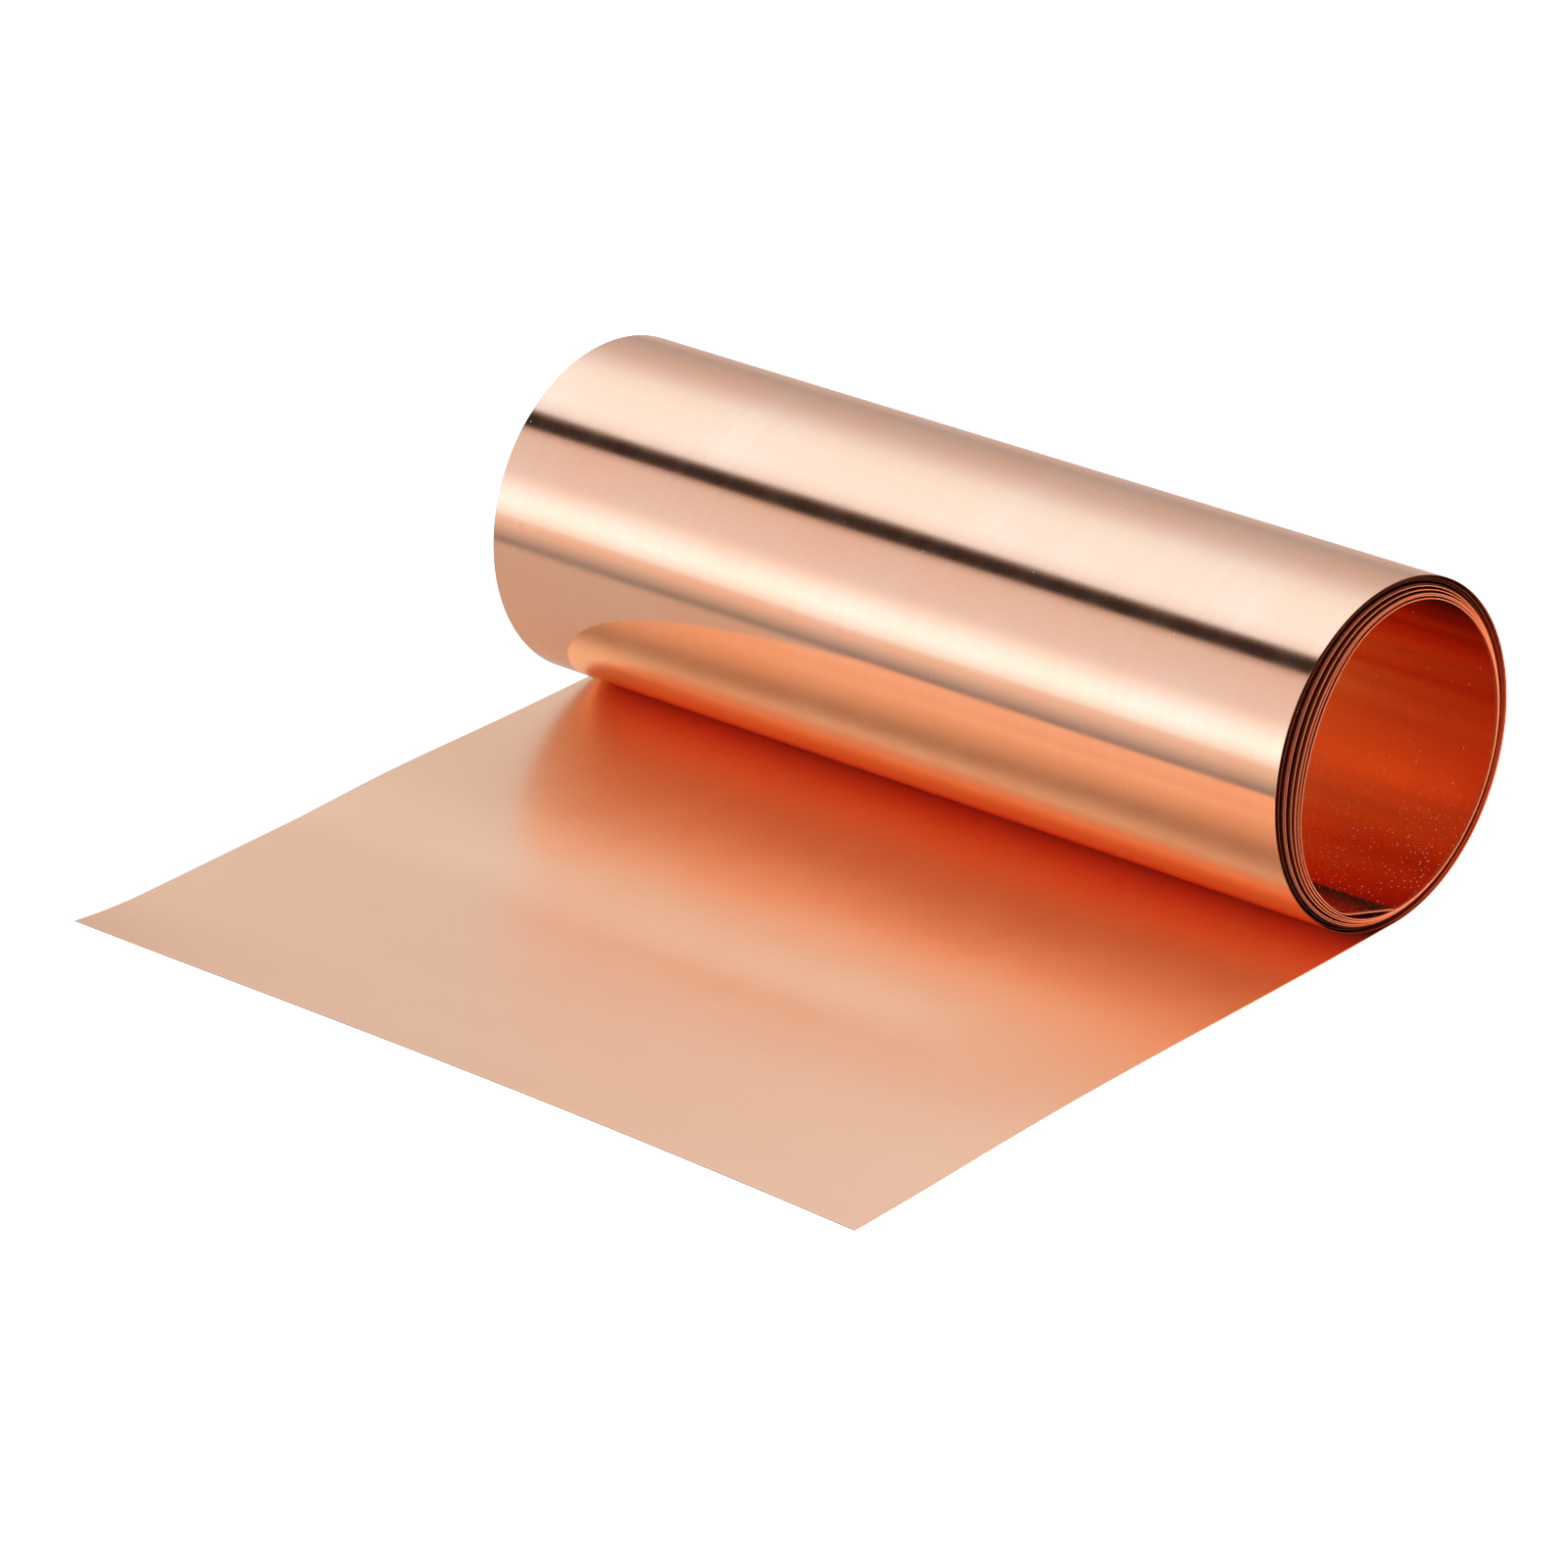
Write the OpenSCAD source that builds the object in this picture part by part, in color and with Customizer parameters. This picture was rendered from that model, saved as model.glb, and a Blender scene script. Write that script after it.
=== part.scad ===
// Roll of bare copper foil with its outer end pulled out flat on the table.
//
// The roll is one strip of soft copper wound on itself, with no core and no
// backing. It stands on the table along the line x = 0, z = 0, its axis runs
// along Y, and the free outer end, the tail, lies towards -X.
//
// The strip is cut into named stretches: the turns of the coil, the free end
// inside the bore, and the narrow panels that the tail bends between.

/* [Strip] */
// Width of the strip, along the axis of the roll
strip_width = 100; // [20:5:200]
// Thickness of the foil
foil_thickness = 0.1; // [0.05:0.01:0.12]

/* [Coil] */
// Outside diameter of the coil where it stands on the table
coil_diameter = 35; // [30:0.5:60]
// Number of turns
turns = 9; // [4:1:12]
// Clear gap between neighbouring turns on the side where they lie closest
tight_gap = 0.02; // [0.01:0.01:0.05]
// Average clear gap between neighbouring turns on the opposite, loose side
loose_gap = 0.4; // [0.1:0.05:0.6]
// Where the turns lie closest, as an angle from straight down towards +X
tight_direction = 50; // [0:5:90]
// How unevenly the slack is shared between the turns, from 0 for evenly
gap_unevenness = 0.35; // [0:0.05:0.4]

/* [Free ends] */
// Length of the strip that lies flat on the table
tail_length = 76; // [40:2:150]
// Number of panels that the tail bends between
tail_panels = 18; // [6:3:30]
// Angle of coil that the straight free end inside the bore stands for
inner_end_angle = 27; // [15:3:45]

/* [Hidden] */
// Angle between two neighbouring corners of the wound strip's outline
step_angle = 3;
steps_per_turn = 360 / step_angle;

// Middle of the foil's thickness where the coil stands on the table
outer_radius = (coil_diameter - foil_thickness) / 2;
coil_centre_z = coil_diameter / 2;

// Distance between the middles of neighbouring turns
tight_pitch = foil_thickness + tight_gap;
pitch_growth = loose_gap - tight_gap;
// Sharpness of the change from the tight side to the loose side
slack_power = 1.5;
// Waves of uneven slack for each turn; it is no simple fraction, so no two turns match
unevenness_waves = 0.37;

// The coil's end joins the tail with half a panel, so that the wound tail stays
// tangent to the coil
panel_length = tail_length / (tail_panels + 0.5);
stub_length = panel_length / 2;

function two_digits(i) = str(i < 10 ? "0" : "", i);
function turn_name(i) = str("turn_", two_digits(i));
function tail_name(i) = str("tail_", two_digits(i));

// Share of the slack on the side of the coil that faces the given angle, 0 to 1
function slack(angle) = pow((1 - cos(angle - tight_direction)) / 2, slack_power);

// Number of average gaps that lie outside a point n turns from the start
function gaps_outside(n) = n + gap_unevenness * sin(360 * unevenness_waves * n);

// Distance from the coil's centre to the middle of the foil, n turns from the start
function wound_radius(n) =
    outer_radius - n * tight_pitch - gaps_outside(n) * pitch_growth * slack(360 * n);

// Point at the middle of the foil, n turns from the start, as [x, z].
// The strip leaves the table at x = 0 and climbs on the +X side first.
function wound_point(n) =
    [wound_radius(n) * sin(360 * n), coil_centre_z - wound_radius(n) * cos(360 * n)];

// Unit vector across the foil, n turns from the start, pointing out of the coil
function wound_normal(n) =
    let (ahead = wound_point(n + 0.0005), behind = wound_point(n - 0.0005),
         along = (ahead - behind) / norm(ahead - behind))
    [along[1], -along[0]];

// Point on the outer face (side = 1) or the inner face (side = -1) of the foil
function face_point(n, side) = wound_point(n) + side * foil_thickness / 2 * wound_normal(n);

// One face of the foil as a list of corners from turn n_start to turn n_end
function wound_face(n_start, n_end, side) =
    let (steps = round((n_end - n_start) * steps_per_turn))
    [for (i = [0:steps]) face_point(n_start + i / steps_per_turn, side)];

// Reverses a list of corners
function reversed(points) = [for (i = [len(points) - 1:-1:0]) points[i]];

// Where the last turn ends and the straight free end in the bore begins
inner_end_start = turns - inner_end_angle / 360;

// Cuts the strip's full width out of an outline drawn in the X-Z plane
module across_width(outline) {
    color("#d98c68")
        translate([0, strip_width / 2, 0])
            rotate([90, 0, 0])
                linear_extrude(height = strip_width)
                    polygon(outline);
}

// One turn of the coil, counted from the outside
module turn(i) {
    n_start = i - 1;
    n_end = i == turns ? inner_end_start : i;
    across_width(concat(
        wound_face(n_start, n_end, 1),
        reversed(wound_face(n_start, n_end, -1))
    ));
}

// The outermost turn, with the first flat half panel of the tail
module outer_turn() {
    stub = [[-stub_length, foil_thickness], [-stub_length, 0]];
    on_table = [[0, 0]];
    above_table = [[0, foil_thickness]];
    outer_face = wound_face(1 / steps_per_turn, 1, 1);
    inner_face = wound_face(1 / steps_per_turn, 1, -1);
    across_width(concat(stub, on_table, outer_face, reversed(inner_face), above_table));
}

// The free end inside the bore: straight, with its tip on the turn below
module inner_end() {
    tip = wound_point(turns);
    root = wound_point(inner_end_start);
    along = (tip - root) / norm(tip - root);
    across = [along[1], -along[0]] * foil_thickness / 2;
    across_width([
        face_point(inner_end_start, 1),
        tip + across,
        tip - across,
        face_point(inner_end_start, -1)
    ]);
}

// One panel of the tail, counted from the coil
module tail_panel(i) {
    near_x = -stub_length - (i - 1) * panel_length;
    far_x = near_x - panel_length;
    across_width([[far_x, 0], [near_x, 0], [near_x, foil_thickness], [far_x, foil_thickness]]);
}

outer_turn();
for (i = [2:turns]) turn(i);
inner_end();
for (i = [1:tail_panels]) tail_panel(i);
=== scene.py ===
"""Looks of the copper foil roll: smooth foil for every CAD stretch, copper, floor, light and camera."""
import math

import bpy
import numpy as np
from mathutils import Matrix, Vector


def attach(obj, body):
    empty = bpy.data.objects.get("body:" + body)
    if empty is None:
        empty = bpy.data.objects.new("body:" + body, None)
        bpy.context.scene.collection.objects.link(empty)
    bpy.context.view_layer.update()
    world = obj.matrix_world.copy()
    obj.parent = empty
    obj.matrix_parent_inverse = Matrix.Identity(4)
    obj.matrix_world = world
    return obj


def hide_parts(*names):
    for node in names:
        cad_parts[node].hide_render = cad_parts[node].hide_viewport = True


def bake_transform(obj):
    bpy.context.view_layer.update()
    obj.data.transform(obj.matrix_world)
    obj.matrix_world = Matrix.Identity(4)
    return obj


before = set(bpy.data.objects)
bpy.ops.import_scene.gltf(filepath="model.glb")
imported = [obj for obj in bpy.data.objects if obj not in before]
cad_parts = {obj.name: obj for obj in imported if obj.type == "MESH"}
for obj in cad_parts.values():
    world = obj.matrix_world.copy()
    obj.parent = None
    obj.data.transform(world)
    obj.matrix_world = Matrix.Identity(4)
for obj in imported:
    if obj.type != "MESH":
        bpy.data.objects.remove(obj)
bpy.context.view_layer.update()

MM = 0.001

# The strip, as part.scad states it (millimetres, turns counted from the outer start)
STRIP_WIDTH = 100.0
FOIL = 0.1
COIL_DIAMETER = 35.0
TURNS = 9
TIGHT_GAP = 0.02
LOOSE_GAP = 0.4
TIGHT_DIRECTION = 50.0
GAP_UNEVENNESS = 0.35
TAIL_LENGTH = 76.0
TAIL_PANELS = 18
INNER_END_ANGLE = 27.0
SLACK_POWER = 1.5
UNEVENNESS_WAVES = 0.37

OUTER_RADIUS = (COIL_DIAMETER - FOIL) / 2
COIL_CENTRE_Z = COIL_DIAMETER / 2
TIGHT_PITCH = FOIL + TIGHT_GAP
PITCH_GROWTH = LOOSE_GAP - TIGHT_GAP
PANEL = TAIL_LENGTH / (TAIL_PANELS + 0.5)
HALF_PANEL = PANEL / 2
INNER_END_START = TURNS - INNER_END_ANGLE / 360

# How finely the foil is meshed
STEP_DEG = 2.0
COLUMNS = 26
ROWS_PER_PANEL = 10
RIM_STEPS = 4
# Reach of the rounded rim, and of the column of faces that keeps it apart from the flat face
RIM_REACH = 0.035
RIM_GUARD = 0.07
# How far in from the full width the faces are worn
WEAR_REACH = 0.5
# Distance of the extra row beside each seam
SEAM = 0.004
# The strip's two free ends thin out: over what length, at which rows, to what share
TIP_LENGTH = 0.05
TIP_ROWS = np.array([0.025, 0.042, 0.05])
TIP_THICKNESS = (0.94, 0.75, 0.4)

# --- The wound strip ------------------------------------------------------------

# Turns between the two points that a direction of travel is taken from, on either side
SMALL_TURN = 0.0005
LENGTH_STEPS_PER_TURN = 800


def slack(n):
    return ((1 - np.cos(np.radians(360 * n - TIGHT_DIRECTION))) / 2) ** SLACK_POWER


def wound_radius(n):
    gaps = n + GAP_UNEVENNESS * np.sin(2 * np.pi * UNEVENNESS_WAVES * n)
    return OUTER_RADIUS - n * TIGHT_PITCH - gaps * PITCH_GROWTH * slack(n)


def wound_point(n):
    n = np.asarray(n, float)
    angle = 2 * np.pi * n
    radius = wound_radius(n)
    return np.stack([radius * np.sin(angle), COIL_CENTRE_Z - radius * np.cos(angle)], -1)


def across(along):
    """Unit vectors to the strip's outer side, for its directions of travel in the X-Z plane."""
    along = along / np.linalg.norm(along, axis=-1, keepdims=True)
    return np.stack([along[..., 1], -along[..., 0]], -1)


def wound_normal(n):
    return across(wound_point(n + SMALL_TURN) - wound_point(n - SMALL_TURN))


def wound_length(n):
    """Length of strip from the free outer end to n turns."""
    fine = np.linspace(0, TURNS, TURNS * LENGTH_STEPS_PER_TURN + 1)
    steps = np.linalg.norm(np.diff(wound_point(fine), axis=0), axis=1)
    lengths = np.concatenate([[0], np.cumsum(steps)])
    return TAIL_LENGTH + np.interp(n, fine, lengths)


# --- How the foil leaves its even shape -----------------------------------------

def smooth(t):
    t = np.clip(t, 0, 1)
    return t * t * (3 - 2 * t)


def rise(value, start, over):
    """From 0 at the start smoothly up to 1."""
    return smooth((value - start) / over)


# Slow unevenness of rolled foil, as waves: how high, how many along the strip's course and
# across it, and where they start
WAVES = ((1.0, 5.0, 0.9, 0.3), (0.8, 9.0, -1.7, 2.1), (0.6, 14.0, 2.6, 4.4), (0.45, 23.0, -3.9, 1.2))
# How far the waves weave, and how often across the strip
WEAVE = 0.8
WEAVE_RATE = 2.2


def unevenness(turn_angle, y):
    """Between 0 and 1, the same for all turns at one place round the coil."""
    v = y / (STRIP_WIDTH / 2)
    total = 0
    for high, along, sideways, start in WAVES:
        weave = WEAVE * np.sin(WEAVE_RATE * v + start)
        total = total + high * np.sin(along * turn_angle + sideways * np.pi * v * 0.5 + start + weave)
    return 0.5 + total / (2 * sum(wave[0] for wave in WAVES))


# Depth of the coil's dents, and where they set in (degrees round the coil from the table)
COIL_DENT = 0.016
DENT_START = (12, 40)
# How far all but the outermost turn lean inwards, and the turns where that sets in and ends
LEAN = 0.22
LEAN_START = (1, 0.5)
LEAN_END = (7.9, 0.6)
# Where the turns stand wider apart or closer than in the CAD model, for the innermost
# turn: the way round the coil in degrees from the table, how far to each side, how much
SHIFTS = ((250.0, 62.0, 0.75), (170.0, 55.0, -0.3))
# Turns over which the shift grows from the outermost turn inwards, and how fast at first
SHIFT_TURNS = 7
SHIFT_POWER = 0.7


def coil_give(n, y):
    """How far the wound strip stands in from the CAD model's even spiral: dents, which fade
    out where it stands on the table, a lean inwards, and the turns' shift."""
    from_table = np.abs((n + 0.5) % 1 - 0.5) * 360
    dent = COIL_DENT * rise(from_table, *DENT_START) * unevenness(2 * np.pi * n, y)
    lean = LEAN * (rise(n, *LEAN_START) * (1 - rise(n, *LEAN_END))) * slack(n)
    place = n % 1 * 360
    shift = sum(most * smooth(1 - abs(place - centre) / reach) for centre, reach, most in SHIFTS)
    return dent + lean + shift * np.clip((n - 1) / SHIFT_TURNS, 0, 1) ** SHIFT_POWER


# How high the tail's forms stand off the table: a bow that grows to the free edge, a hump
# near the coil, the near side's arch, the far corner's curl and slow waves
BOW = 0.85
BOW_POWER = 2.6
HUMP = 0.72
HUMP_START = 4.0
HUMP_LENGTH = 44.0
HUMP_SKEW = 1.6
HUMP_FAR_LOSS = 0.6
SIDE_ARCH = 0.48
ARCH_SKEW = 1.3
CORNER_CURL = 0.62
CORNER_START = 0.88
CORNER_POWER = 6
TAIL_WAVE = 0.05
TAIL_WAVE_START = (0.08, 0.5)
TAIL_WAVE_RATE = 2.4
TAIL_WAVE_SIDE_LOSS = 0.4


def tail_lift(x, y):
    """How far the tail stands off the table, at rest."""
    u = np.clip(-x / TAIL_LENGTH, 0, 1)
    v = y / (STRIP_WIDTH / 2)
    bow = BOW * u ** BOW_POWER * (1 - v * v)
    along_hump = np.clip((-x - HUMP_START) / HUMP_LENGTH, 0, 1) ** HUMP_SKEW
    across_hump = rise(v, -1, 0.6) * (1 - HUMP_FAR_LOSS * rise(v, 0.2, 0.8))
    hump = HUMP * np.sin(np.pi * along_hump) ** 2 * across_hump
    near_side = ((1 - v) / 2) ** 2
    arch = SIDE_ARCH * np.sin(np.pi * u ** ARCH_SKEW) ** 2 * near_side
    into_corner = np.clip((u - CORNER_START) / (1 - CORNER_START), 0, 1)
    corner = CORNER_CURL * into_corner ** 2 * ((1 + v) / 2) ** CORNER_POWER
    wave = TAIL_WAVE * rise(u, *TAIL_WAVE_START) * unevenness(u * TAIL_WAVE_RATE, y)
    return bow + hump + arch + corner + wave * (1 - TAIL_WAVE_SIDE_LOSS * v * v)


FLAP_WAVE = 0.05
FLAP_WAVE_START = (2, 6)
FLAP_WAVE_LENGTH = 9


def flap_lift(length, y):
    """A slight wave of the free end in the bore, with the length from its root."""
    return FLAP_WAVE * rise(length, *FLAP_WAVE_START) * unevenness(length / FLAP_WAVE_LENGTH, y)


# What changes along the strip: from which length on, counted from the free outer end, and
# over how much of it
# From this length on, the cut edges of the outer turns carry painted shade
SHADED_EDGES = (70, 30)
LESS_MATTE = (80, 100)
EDGES_STAND_IN = (150, 120)
SECOND_TURN = (180, 40)
NEAR_SIDE_RETURNS = (400, 480)
INNER_GROUP = (430, 90)
INNER_TIP = (981, 4)

# Roughness that the inner face has on top of the outer face's
TAIL_MATTE = 0.2
BORE_MATTE = 0.03
TIP_MATTE = 0.1


def side_shift(length):
    """How far the two sides of the strip stand in from its full width: (near, far)."""
    start, over = NEAR_SIDE_RETURNS
    near = 0.6 - 0.5 * np.clip((length - start) / over, 0, 1)
    near = near + 0.05 * np.sin(length / 21) + 0.04 * np.sin(length / 47 + 1.3)
    far = 0.12 + 0.25 * rise(length, *INNER_GROUP)
    far = far + 0.06 * np.sin(length / 33 + 0.7) + 0.04 * np.sin(length / 17)
    wound = rise(length, *EDGES_STAND_IN)
    return near * wound, far * wound


def edge_painted_light(length):
    """Painted shade on the cut edges: dark on the outer turns, as if in shadow, and their own bright copper
    on the inner ones and the tail.
    """
    return 1 - rise(length, *SHADED_EDGES) * (1 - rise(length, *INNER_GROUP))


def matte(length):
    """Roughness that the inner face has on top of the outer face's."""
    in_coil = (BORE_MATTE - TAIL_MATTE) * rise(length, *LESS_MATTE)
    return TAIL_MATTE + in_coil + TIP_MATTE * rise(length, *INNER_TIP)


def wear(length):
    """How much the faces are rubbed matte beside the cut edges: inside the coil only."""
    return 0.5 * rise(length, *SECOND_TURN) + 0.5 * rise(length, *INNER_GROUP)


# --- Mesh of a stretch of foil --------------------------------------------------

def ring():
    """The strip's cross-section as [(y, side)], side 1 on the outer face, -1 on the inner."""
    half = STRIP_WIDTH / 2 - RIM_REACH
    beside = half - RIM_GUARD
    inner_half = half - WEAR_REACH
    ys = [-half, -beside, *np.linspace(-inner_half, inner_half, COLUMNS - 1), beside, half]
    turn = [math.pi * (i + 1) / (RIM_STEPS + 1) for i in range(RIM_STEPS)]
    right = [(half + RIM_REACH * math.sin(a), math.cos(a)) for a in turn]
    left = [(-y, -side) for y, side in right]
    return ([(y, 1.0) for y in ys], right, [(y, -1.0) for y in reversed(ys)], left)


OUTER, RIGHT, INNER, LEFT = ring()
RING = OUTER + RIGHT + INNER + LEFT
RING_SIZE = len(RING)
RING_Y = np.array([p[0] for p in RING])
RING_SIDE = np.array([p[1] for p in RING])
FACE_COUNT = len(OUTER)
# Below this a point is on the rim or in the thinned tip
FULL = 0.999


def cap_faces(base):
    """Faces that close one end of a stretch: quads between the two sides, then the two rims."""
    caps = []
    for k in range(FACE_COUNT - 1):
        opposite = RING_SIZE - RIM_STEPS - 1 - k
        caps.append((base + k, base + k + 1, base + opposite - 1, base + opposite))
    caps.append(tuple(base + k for k in range(FACE_COUNT - 1, FACE_COUNT + RIM_STEPS + 1)))
    caps.append(tuple(base + k % RING_SIZE for k in range(RING_SIZE - RIM_STEPS - 1, RING_SIZE + 1)))
    return caps


def skin_faces(rows):
    """Faces along a stretch, between each row and the next."""
    skin = []
    for a in range(0, (rows - 1) * RING_SIZE, RING_SIZE):
        b = a + RING_SIZE
        for k in range(RING_SIZE):
            k2 = (k + 1) % RING_SIZE
            skin.append((a + k, b + k, b + k2, a + k2))
    return skin


def foil_mesh(name, points, normals, lengths, lift, thickness=None):
    """A closed stretch of foil. points and normals are rows in the X-Z plane, lift(y) is each
    row's offset towards the inner face, and thickness scales the foil's own at each row."""
    rows = len(points)
    thickness = np.ones(rows) if thickness is None else thickness
    near, far = side_shift(lengths)
    share = (RING_Y / STRIP_WIDTH + 0.5)[None, :]
    y = RING_Y[None, :] + near[:, None] * (1 - share) - far[:, None] * share
    offset = RING_SIDE[None, :] * thickness[:, None] * FOIL / 2 - lift(y)
    co = np.empty((rows, RING_SIZE, 3))
    co[..., 0] = points[:, None, 0] + normals[:, None, 0] * offset
    co[..., 1] = y
    co[..., 2] = points[:, None, 1] + normals[:, None, 1] * offset

    caps = cap_faces(0) + [tuple(reversed(f)) for f in cap_faces((rows - 1) * RING_SIZE)]
    skin = skin_faces(rows)
    mesh = bpy.data.meshes.new(name)
    mesh.from_pydata((co.reshape(-1, 3) * MM).tolist(), [], caps + skin)
    mesh.polygons.foreach_set("use_smooth", [False] * len(caps) + [True] * len(skin))

    uv = mesh.uv_layers.new(name="strip")
    loops = np.empty(len(mesh.loops), np.int32)
    mesh.loops.foreach_get("vertex_index", loops)
    uvs = np.stack([y.ravel(), np.repeat(lengths, RING_SIZE)], -1) * MM
    uv.data.foreach_set("uv", uvs[loops].astype(np.float32).ravel())

    inner_face = (1 - RING_SIDE) / 2
    beside_edge = np.abs(RING_Y) > STRIP_WIDTH / 2 - WEAR_REACH
    for key, value in (
        ("rim", (np.abs(RING_SIDE) < FULL) | (thickness[:, None] < FULL)),
        ("inner", np.tile(inner_face, (rows, 1))),
        ("matte", inner_face * matte(lengths)[:, None]),
        ("edge_painted_light", np.repeat(edge_painted_light(lengths)[:, None], RING_SIZE, axis=1)),
        ("wear", wear(lengths)[:, None] * beside_edge),
    ):
        attribute = mesh.attributes.new(key, "FLOAT", "POINT")
        attribute.data.foreach_set("value", value.ravel().astype(np.float32))
    obj = bpy.data.objects.new(name, mesh)
    bpy.context.collection.objects.link(obj)
    mesh.materials.append(copper)
    return obj


def with_seams(values, seam):
    """Adds a row just inside each end, so that neighbouring stretches shade as one."""
    first, last = values[:1], values[-1:]
    return np.concatenate([first, first + seam, values[1:-1], last - seam, last])


def with_thin_tip(rows):
    """Thickness of the foil at each row, where the last rows are at a free end."""
    thickness = np.ones(rows)
    thickness[-len(TIP_THICKNESS):] = TIP_THICKNESS
    return thickness


# --- Material -------------------------------------------------------------------

# Colours of the outer face, of the inner face with a lighter copy on the tail that is painted light,
# of the cut edges with a dark copy on the outer turns that is painted shade, of the worn faces beside them,
# and of dust
WARM = (0.965, 0.59, 0.39, 1)
PALE = (0.955, 0.615, 0.425, 1)
STREAK = (0.93, 0.56, 0.37, 1)
# The tail's inner face: a lighter copy of the inner face, painted light
TAIL_INSIDE_PAINTED_LIGHT = (1.0, 0.635, 0.415, 1)
BORE_INSIDE = (0.935, 0.605, 0.40, 1)
# The outer turns' cut edges: a dark copy of the edge colour, painted shade
SHADED_EDGE_COLOUR = (0.13, 0.035, 0.02, 1)
BRIGHT_EDGE = (1.0, 0.47, 0.26, 1)
WORN_FACE = (1.0, 0.45, 0.24, 1)
DUST = (0.92, 0.74, 0.64, 1)
SHEEN_AT_GRAZING = (0.98, 0.89, 0.83, 1)

# Roughness of the outer face from its clearest to its haziest part, and what is added
ROUGHNESS = (0.088, 0.115)
STREAK_ROUGHNESS = 0.004
SPECK_ROUGHNESS = 0.5
WORN_ROUGHNESS = 0.45
RIM_ROUGHNESS = 0.14

# Rolling grain: height of its bump (metres), and the shares of its fine and broad streaks
GRAIN_HEIGHT = 0.0000009
FINE_SHARE = 0.5
BROAD_SHARE = 1.6
ANISOTROPY = 0.4

# Places along the strip (metres from the free outer end): where the painted light on the tail's inner face
# ends, where the bore begins, the bore's bottom one turn before the inner end, and its last part
TAIL_PAINTED_LIGHT_END = (0.08, 0.18)
BORE_START = (0.84, 0.86)
BORE_BOTTOM = 0.901
BOTTOM_REACH = (0.005, 0.013)
LAST_PART = (0.95, 0.975)
# Place across the strip where the open end's dust ends (metres from the middle)
NEAR_SIDE = (-0.04, -0.015)


def set_range(node, low, high, out_low, out_high):
    """Fills in a Map Range node: the value's range, and the range it is spread over."""
    for socket, number in zip(node.inputs[1:5], (low, high, out_low, out_high)):
        socket.default_value = number


def copper_material():
    mat = bpy.data.materials.new("copper_foil")
    mat.use_nodes = True
    nodes = mat.node_tree.nodes
    links = mat.node_tree.links
    nodes.clear()

    def add(kind, **values):
        node = nodes.new(kind)
        for key, value in values.items():
            setattr(node, key, value)
        return node

    def attribute(name):
        return add("ShaderNodeAttribute", attribute_name=name).outputs["Fac"]

    def math_node(operation, a, b, clamp=False):
        node = add("ShaderNodeMath", operation=operation, use_clamp=clamp)
        for socket, value in zip(node.inputs, (a, b)):
            if isinstance(value, (int, float)):
                socket.default_value = value
            else:
                links.new(value, socket)
        return node.outputs[0]

    def spread(value, low, high, out_low, out_high):
        node = add("ShaderNodeMapRange")
        links.new(value, node.inputs["Value"])
        set_range(node, low, high, out_low, out_high)
        return node.outputs["Result"]

    def mix(factor, a, b):
        node = add("ShaderNodeMix", data_type="RGBA")
        links.new(factor, node.inputs[0])
        for socket, value in ((node.inputs[6], a), (node.inputs[7], b)):
            if isinstance(value, tuple):
                socket.default_value = value
            else:
                links.new(value, socket)
        return node.outputs[2]

    strip = add("ShaderNodeUVMap", uv_map="strip").outputs[0]
    on_strip = add("ShaderNodeSeparateXYZ")
    links.new(strip, on_strip.inputs[0])
    sideways, along = on_strip.outputs[:2]

    def scaled(across_mm, along_mm, offset=0.0):
        """The strip's own coordinates, with one unit for each size across and along it."""
        place = add("ShaderNodeMapping")
        place.inputs["Scale"].default_value = (1 / MM / across_mm, 1 / MM / along_mm, 1)
        place.inputs["Location"].default_value = (offset, offset * 0.37, offset * 1.7)
        links.new(strip, place.inputs["Vector"])
        return place.outputs[0]

    def noise(across_mm, along_mm, detail=2.0, offset=0.0):
        """Noise with features of the given size across and along the strip."""
        node = add("ShaderNodeTexNoise", noise_dimensions="2D")
        node.inputs["Scale"].default_value = 1
        node.inputs["Detail"].default_value = detail
        node.inputs["Roughness"].default_value = 0.5
        links.new(scaled(across_mm, along_mm, offset), node.inputs["Vector"])
        return node.outputs["Fac"]

    def dust(cell_mm, rarity, largest):
        """Specks of many sizes: one in each cell, and none where the cell's tone is below rarity."""
        cells = add("ShaderNodeTexVoronoi", voronoi_dimensions="2D", feature="F1")
        cells.inputs["Scale"].default_value = 1
        cells.inputs["Randomness"].default_value = 1
        links.new(scaled(cell_mm, cell_mm), cells.inputs["Vector"])
        cell_tone = add("ShaderNodeSeparateColor")
        links.new(cells.outputs["Color"], cell_tone.inputs[0])
        radius = spread(cell_tone.outputs[0], rarity, 1.0, 0.0, largest)
        return math_node("LESS_THAN", cells.outputs["Distance"], radius)

    # Rolling grain, as fine and broad streaks along the strip, and unevenness without direction
    fine_grain = noise(0.16, 5.0, 1.0)
    broad_grain = noise(0.9, 38.0, offset=3.1)
    cloud = noise(16.0, 24.0, 3.0, offset=7.7)
    haze = noise(4.0, 7.0, offset=12.3)

    inner = attribute("inner")
    rim = attribute("rim")
    worn = attribute("wear")

    # A few specks everywhere, more in the bore and most on its bottom, near the open end
    in_bore = math_node("MULTIPLY", inner, spread(along, *BORE_START, 0.0, 1.0))
    from_bottom = math_node("ABSOLUTE", math_node("SUBTRACT", along, BORE_BOTTOM), 0.0)
    on_bottom = spread(from_bottom, *BOTTOM_REACH, 1.0, 0.0)
    bottom = math_node("MAXIMUM", spread(along, *LAST_PART, 0.0, 1.0), on_bottom)
    near_side = spread(sideways, *NEAR_SIDE, 1.0, 0.0)
    near_end = math_node("MULTIPLY", math_node("MULTIPLY", inner, bottom), near_side)
    speck = math_node("MULTIPLY", dust(2.6, 0.8, 0.03), 0.5)
    speck = math_node("MAXIMUM", speck, math_node("MULTIPLY", dust(1.6, 0.8, 0.05), in_bore))
    speck = math_node("MAXIMUM", speck, math_node("MULTIPLY", dust(0.6, 0.2, 0.13), near_end))

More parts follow.
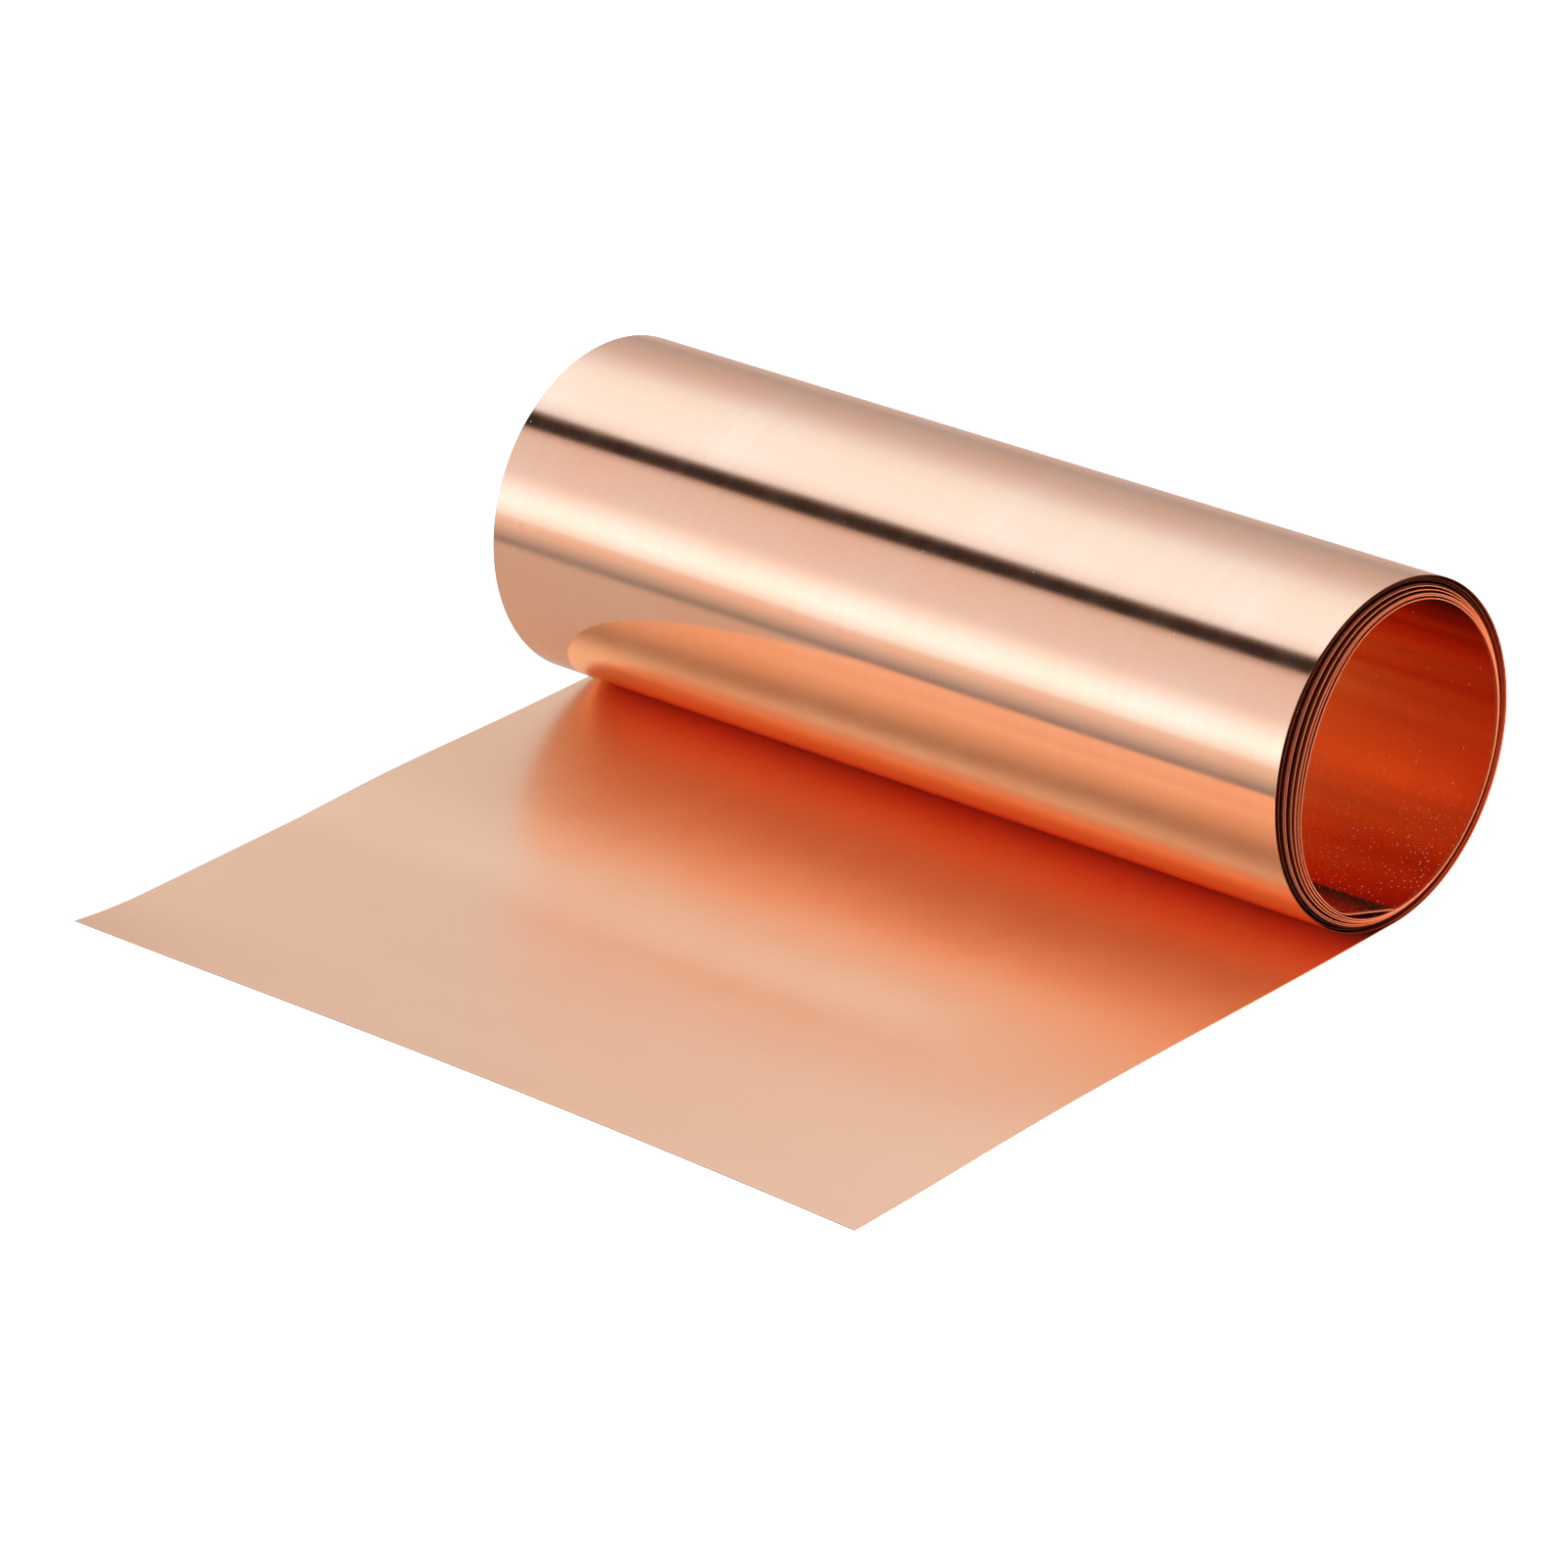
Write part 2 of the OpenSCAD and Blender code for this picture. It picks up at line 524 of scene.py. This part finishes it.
    colour = mix(spread(cloud, 0.35, 0.65, 0.0, 1.0), WARM, PALE)
    colour = mix(spread(broad_grain, 0.3, 0.7, 0.0, 0.25), colour, STREAK)
    colour = mix(inner, colour, BORE_INSIDE)
    # Painted light: the inner face is made lighter on the tail than in the bore
    painted_light_on_tail = math_node("MULTIPLY", inner, spread(along, *TAIL_PAINTED_LIGHT_END, 1.0, 0.0))
    colour = mix(painted_light_on_tail, colour, TAIL_INSIDE_PAINTED_LIGHT)
    colour = mix(worn, colour, WORN_FACE)
    # Painted shade: the cut edges of the outer turns are darkened as if they stood in shadow
    edge = mix(attribute("edge_painted_light"), SHADED_EDGE_COLOUR, BRIGHT_EDGE)
    colour = mix(rim, colour, edge)
    colour = mix(speck, colour, DUST)

    rough = spread(haze, 0.3, 0.7, *ROUGHNESS)
    streaks = spread(broad_grain, 0.3, 0.7, -STREAK_ROUGHNESS, STREAK_ROUGHNESS)
    rough = math_node("ADD", rough, streaks)
    rough = math_node("ADD", rough, attribute("matte"))
    rough = math_node("ADD", rough, math_node("MULTIPLY", speck, SPECK_ROUGHNESS))
    rough = math_node("ADD", rough, math_node("MULTIPLY", worn, WORN_ROUGHNESS))
    rough = math_node("ADD", rough, math_node("MULTIPLY", rim, RIM_ROUGHNESS), clamp=True)

    fine = math_node("MULTIPLY", fine_grain, FINE_SHARE)
    broad = math_node("MULTIPLY", broad_grain, BROAD_SHARE)
    outer = math_node("SUBTRACT", 1.0, inner)
    bump = add("ShaderNodeBump")
    bump.inputs["Strength"].default_value = 1.0
    bump.inputs["Distance"].default_value = GRAIN_HEIGHT
    links.new(math_node("MULTIPLY", math_node("ADD", fine, broad), outer), bump.inputs["Height"])

    tangent = add("ShaderNodeTangent", direction_type="UV_MAP", uv_map="strip")
    shader = add("ShaderNodeBsdfPrincipled")
    shader.inputs["Specular Tint"].default_value = SHEEN_AT_GRAZING
    shader.inputs["Anisotropic"].default_value = ANISOTROPY
    shader.inputs["Anisotropic Rotation"].default_value = 0.25
    links.new(tangent.outputs[0], shader.inputs["Tangent"])
    links.new(math_node("SUBTRACT", 1.0, speck), shader.inputs["Metallic"])
    links.new(colour, shader.inputs["Base Color"])
    links.new(rough, shader.inputs["Roughness"])
    links.new(bump.outputs[0], shader.inputs["Normal"])
    out = add("ShaderNodeOutputMaterial")
    links.new(shader.outputs[0], out.inputs[0])
    return mat


copper = copper_material()

# --- The coil -------------------------------------------------------------------

# Length of strip on each side of the CAD model's corner that the inner end's bend takes
INNER_BEND = 1.2
INNER_BEND_TURNS = INNER_BEND / (2 * math.pi * float(wound_radius(np.array(INNER_END_START))))
BEND_ROWS = 17
FLAT_ROWS = 12


def wound_turn(i):
    end = i if i < TURNS else INNER_END_START - INNER_BEND_TURNS
    steps = int(round((end - i + 1) * 360 / STEP_DEG))
    n = with_seams(np.linspace(i - 1, end, steps + 1), SEAM / (2 * math.pi * OUTER_RADIUS))
    name = f"turn_{i:02d}"
    obj = foil_mesh(
        f"foil_{name}", wound_point(n), wound_normal(n), wound_length(n), lambda y: coil_give(n[:, None], y)
    )
    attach(obj, "coil")
    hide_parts(name)


def inner_end():
    """The straight free end in the bore, with a short rounded bend where it leaves the coil."""
    start = np.array(INNER_END_START - INNER_BEND_TURNS)
    root, tip = wound_point(np.array([INNER_END_START, TURNS]))
    first = wound_point(start)
    first_normal = wound_normal(start)
    straight = (tip - root) / np.linalg.norm(tip - root)
    last = root + straight * INNER_BEND
    tangent = across(-first_normal)
    tangent = tangent if tangent @ straight > 0 else -tangent
    corner = first + tangent * np.linalg.norm(root - first)
    t = np.linspace(0, 1, BEND_ROWS)[:, None]
    bend = (1 - t) ** 2 * first + 2 * t * (1 - t) * corner + t * t * last
    full = np.linalg.norm(tip - last) - TIP_LENGTH
    along = np.concatenate([np.linspace(0, 1, FLAT_ROWS + 1)[1:] * full, full + TIP_ROWS])
    points = np.concatenate([bend, last + along[:, None] * straight])
    normals = across(np.gradient(points, axis=0))
    normals[0] = first_normal
    lengths = np.concatenate([[0], np.cumsum(np.linalg.norm(np.diff(points, axis=0), axis=1))])
    obj = foil_mesh(
        "foil_inner_end",
        points,
        normals,
        wound_length(start) + lengths,
        lambda y: flap_lift(lengths[:, None], y),
        with_thin_tip(len(points)),
    )
    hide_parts("inner_end")
    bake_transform(obj)


for turn in range(1, TURNS + 1):
    wound_turn(turn)
inner_end()

# --- The tail -------------------------------------------------------------------


def tail_rows(start, end, is_last):
    """X of each row of a panel, and the foil's thickness there."""
    if not is_last:
        return with_seams(np.linspace(start, end, ROWS_PER_PANEL + 1), -SEAM), None
    x = np.linspace(start, end + TIP_LENGTH, 2 * ROWS_PER_PANEL + 1)
    x = np.concatenate([x[:1], x[:1] - SEAM, x[1:], end + (TIP_LENGTH - TIP_ROWS)])
    return x, with_thin_tip(len(x))


def tail_piece(i):
    hinge = -HALF_PANEL - (i - 1) * PANEL
    is_last = i == TAIL_PANELS
    end = -TAIL_LENGTH if is_last else hinge - HALF_PANEL
    x, thickness = tail_rows(hinge + HALF_PANEL, end, is_last)
    points = np.stack([x, np.full_like(x, FOIL / 2)], -1)
    normals = np.tile((0.0, -1.0), (len(x), 1))
    name = f"tail_{i:02d}"
    obj = foil_mesh(
        f"foil_{name}", points, normals, TAIL_LENGTH + x, lambda y: tail_lift(x[:, None], y), thickness
    )
    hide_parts(name)
    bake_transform(obj)


for panel in range(1, TAIL_PANELS + 1):
    tail_piece(panel)

# --- Floor, light, camera -------------------------------------------------------

FLOOR_HALF = 3.0
# The floor lies this far under the part (metres), so that their faces don't coincide
FLOOR_DROP = 0.00002
# Glow of the floor along X (mm), with a soft shade just beyond the tail's free edge
FLOOR_GLOW = ((-500, 0.40), (-220, 0.36), (-120, 0.22), (-85, 0.05), (-70, 0.27), (500, 0.24))
# and more of it beyond each end of the coil, round a spot that its cut edges reflect:
# how much at the near and the far end, where (X and distance along Y) and how it fades
END_GLOW = (0.95, 0.13)
END_GLOW_SPOT = (35, 85)
END_GLOW_FADE = (20, 75)


def make_floor():
    """A pale floor: white to the camera, and softly lit where the copper reflects it."""
    mesh = bpy.data.meshes.new("floor")
    r = FLOOR_HALF
    mesh.from_pydata([(-r, -r, 0), (r, -r, 0), (r, r, 0), (-r, r, 0)], [], [(0, 1, 2, 3)])
    floor = bpy.data.objects.new("floor", mesh)
    floor.location.z = -FLOOR_DROP
    bpy.context.collection.objects.link(floor)
    mat = bpy.data.materials.new("floor_white")
    mat.use_nodes = True
    nodes = mat.node_tree.nodes
    links = mat.node_tree.links
    shader = nodes["Principled BSDF"]
    shader.inputs["Base Color"].default_value = (0.32, 0.30, 0.29, 1)
    shader.inputs["Roughness"].default_value = 0.9
    shader.inputs["Specular IOR Level"].default_value = 0.1
    shader.inputs["Emission Color"].default_value = (1.0, 0.82, 0.72, 1)
    place = nodes.new("ShaderNodeTexCoord")
    parts = nodes.new("ShaderNodeSeparateXYZ")
    links.new(place.outputs["Object"], parts.inputs[0])

    # The glow along X
    first_x, last_x = FLOOR_GLOW[0][0], FLOOR_GLOW[-1][0]
    share = nodes.new("ShaderNodeMapRange")
    links.new(parts.outputs["X"], share.inputs["Value"])
    set_range(share, first_x * MM, last_x * MM, 0, 1)
    glow = nodes.new("ShaderNodeValToRGB")
    stops = glow.color_ramp.elements
    for x, _ in FLOOR_GLOW[1:-1]:
        stops.new((x - first_x) / (last_x - first_x))
    for stop, (_, level) in zip(stops, FLOOR_GLOW):
        stop.color = (level, level, level, 1)
    links.new(share.outputs["Result"], glow.inputs[0])

    # The glow beyond the ends of the coil, with both ends folded into one for its place
    either_end = nodes.new("ShaderNodeMath")
    either_end.operation = "ABSOLUTE"
    links.new(parts.outputs["Y"], either_end.inputs[0])
    folded = nodes.new("ShaderNodeCombineXYZ")
    links.new(parts.outputs["X"], folded.inputs["X"])
    links.new(either_end.outputs[0], folded.inputs["Y"])
    from_spot = nodes.new("ShaderNodeVectorMath")
    from_spot.operation = "DISTANCE"
    links.new(folded.outputs[0], from_spot.inputs[0])
    from_spot.inputs[1].default_value = (END_GLOW_SPOT[0] * MM, END_GLOW_SPOT[1] * MM, 0)
    ends = nodes.new("ShaderNodeMapRange")
    ends.interpolation_type = "SMOOTHSTEP"
    links.new(from_spot.outputs["Value"], ends.inputs["Value"])
    set_range(ends, END_GLOW_FADE[0] * MM, END_GLOW_FADE[1] * MM, 1, 0)
    end_level = nodes.new("ShaderNodeMapRange")
    links.new(parts.outputs["Y"], end_level.inputs["Value"])
    set_range(end_level, -STRIP_WIDTH / 2 * MM, STRIP_WIDTH / 2 * MM, *END_GLOW)
    end_glow = nodes.new("ShaderNodeMath")
    end_glow.operation = "MULTIPLY"
    links.new(ends.outputs["Result"], end_glow.inputs[0])
    links.new(end_level.outputs["Result"], end_glow.inputs[1])
    both = nodes.new("ShaderNodeMath")
    links.new(glow.outputs[0], both.inputs[0])
    links.new(end_glow.outputs[0], both.inputs[1])
    links.new(both.outputs[0], shader.inputs["Emission Strength"])

    white = nodes.new("ShaderNodeEmission")
    path = nodes.new("ShaderNodeLightPath")
    choose = nodes.new("ShaderNodeMixShader")
    links.new(path.outputs["Is Camera Ray"], choose.inputs[0])
    links.new(shader.outputs[0], choose.inputs[1])
    links.new(white.outputs[0], choose.inputs[2])
    links.new(choose.outputs[0], nodes["Material Output"].inputs[0])
    mesh.materials.append(mat)


make_floor()

# Light of the studio round the roll's axis: degrees from straight up towards -X
STUDIO = (
    (-180, (0.60, 0.62, 0.66)),
    (-100, (0.37, 0.40, 0.44)),
    (-84, (0.36, 0.38, 0.42)),
    (-57, (0.47, 0.50, 0.57)),
    (-45, (0.54, 0.62, 0.76)),
    (-33, (0.62, 0.78, 0.96)),
    (-21, (0.65, 0.85, 1.05)),
    (2, (0.66, 0.88, 1.12)),
    (9, (0.65, 0.82, 1.03)),
    (14, (0.61, 0.74, 0.90)),
    (16.5, (0.20, 0.18, 0.18)),
    (19, (0.04, 0.03, 0.03)),
    (27, (0.04, 0.03, 0.03)),
    (28.5, (0.42, 0.40, 0.42)),
    (33, (0.53, 0.55, 0.61)),
    (45, (0.55, 0.58, 0.67)),
    (58, (0.57, 0.62, 0.73)),
    (63, (0.62, 0.71, 0.84)),
    (71, (0.78, 0.90, 1.12)),
    (79, (0.85, 1.00, 1.25)),
    (87, (0.68, 0.82, 0.98)),
    (91, (0.56, 0.57, 0.60)),
    (180, (0.60, 0.62, 0.66)),
)
# The ramp holds the light's colours divided by this, and the world's strength restores them
STUDIO_STRENGTH = 2

# Warmer light from the ends of the roll's axis: where it begins and is full, as shares of
# the direction along the axis, and its tint
END_LIGHT = (0.78, 0.97)
END_TINT = (1.0, 0.76, 0.60, 1)


def make_studio():
    """Light that changes round the roll's axis for the copper, and plain white for the camera."""
    world = bpy.data.worlds.new("studio")
    bpy.context.scene.world = world
    world.use_nodes = True
    nodes = world.node_tree.nodes
    links = world.node_tree.links
    nodes.clear()
    direction = nodes.new("ShaderNodeTexCoord")
    parts = nodes.new("ShaderNodeSeparateXYZ")
    links.new(direction.outputs["Generated"], parts.inputs[0])
    minus_x = nodes.new("ShaderNodeMath")
    minus_x.operation = "MULTIPLY"
    minus_x.inputs[1].default_value = -1
    links.new(parts.outputs["X"], minus_x.inputs[0])
    angle = nodes.new("ShaderNodeMath")
    angle.operation = "ARCTAN2"
    links.new(minus_x.outputs[0], angle.inputs[0])
    links.new(parts.outputs["Z"], angle.inputs[1])
    share = nodes.new("ShaderNodeMapRange")
    links.new(angle.outputs[0], share.inputs["Value"])
    set_range(share, -math.pi, math.pi, 0, 1)
    ramp = nodes.new("ShaderNodeValToRGB")
    stops = ramp.color_ramp.elements
    for degrees, _ in STUDIO[1:-1]:
        stops.new((degrees + 180) / 360)
    for stop, (_, colour) in zip(stops, STUDIO):
        stop.color = (*[c / STUDIO_STRENGTH for c in colour], 1)
    links.new(share.outputs["Result"], ramp.inputs[0])
    along_axis = nodes.new("ShaderNodeMath")
    along_axis.operation = "ABSOLUTE"
    links.new(parts.outputs["Y"], along_axis.inputs[0])
    end_share = nodes.new("ShaderNodeMapRange")
    links.new(along_axis.outputs[0], end_share.inputs["Value"])
    set_range(end_share, *END_LIGHT, 0, 1)
    warmed = nodes.new("ShaderNodeMix")
    warmed.data_type = "RGBA"
    warmed.blend_type = "MULTIPLY"
    links.new(end_share.outputs["Result"], warmed.inputs[0])
    links.new(ramp.outputs[0], warmed.inputs[6])
    warmed.inputs[7].default_value = END_TINT
    lit = nodes.new("ShaderNodeBackground")
    lit.inputs["Strength"].default_value = STUDIO_STRENGTH
    links.new(warmed.outputs[2], lit.inputs["Color"])
    plain = nodes.new("ShaderNodeBackground")
    plain.inputs["Color"].default_value = (1, 1, 1, 1)
    path = nodes.new("ShaderNodeLightPath")
    choose = nodes.new("ShaderNodeMixShader")
    links.new(path.outputs["Is Camera Ray"], choose.inputs[0])
    links.new(lit.outputs[0], choose.inputs[1])
    links.new(plain.outputs[0], choose.inputs[2])
    out = nodes.new("ShaderNodeOutputWorld")
    links.new(choose.outputs[0], out.inputs[0])


make_studio()

CAMERA_AZIMUTH = -46.402
CAMERA_ELEVATION = 25.251
CAMERA_ROLL = -2.975
CAMERA_DISTANCE = 0.81656
CAMERA_TARGET = Vector((-0.006519, 0.021886, -0.003374))
CAMERA_LENS = 189.36


def make_camera():
    data = bpy.data.cameras.new("camera")
    data.lens = CAMERA_LENS
    data.sensor_width = 36
    data.clip_start = 0.01
    data.clip_end = 20
    camera = bpy.data.objects.new("camera", data)
    bpy.context.collection.objects.link(camera)
    a, e = math.radians(CAMERA_AZIMUTH), math.radians(CAMERA_ELEVATION)
    back = Vector((math.sin(a) * math.cos(e), -math.cos(a) * math.cos(e), math.sin(e)))
    right = Vector((0, 0, 1)).cross(back).normalized()
    up = back.cross(right)
    r = math.radians(CAMERA_ROLL)
    rolled_right = math.cos(r) * right + math.sin(r) * up
    rolled_up = -math.sin(r) * right + math.cos(r) * up
    turned = Matrix((rolled_right, rolled_up, back)).transposed()
    camera.matrix_world = Matrix.Translation(CAMERA_TARGET + back * CAMERA_DISTANCE) @ turned.to_4x4()
    bpy.context.scene.camera = camera


make_camera()

# Contrast of the view, and enough bounces for light between the turns
EXPOSURE = 0.68
GAMMA = 0.8
GLOSSY_BOUNCES = 10
MAX_BOUNCES = 14

scene = bpy.context.scene
scene.view_settings.view_transform = "Standard"
scene.view_settings.exposure = EXPOSURE
scene.view_settings.gamma = GAMMA
scene.cycles.glossy_bounces = GLOSSY_BOUNCES
scene.cycles.max_bounces = MAX_BOUNCES
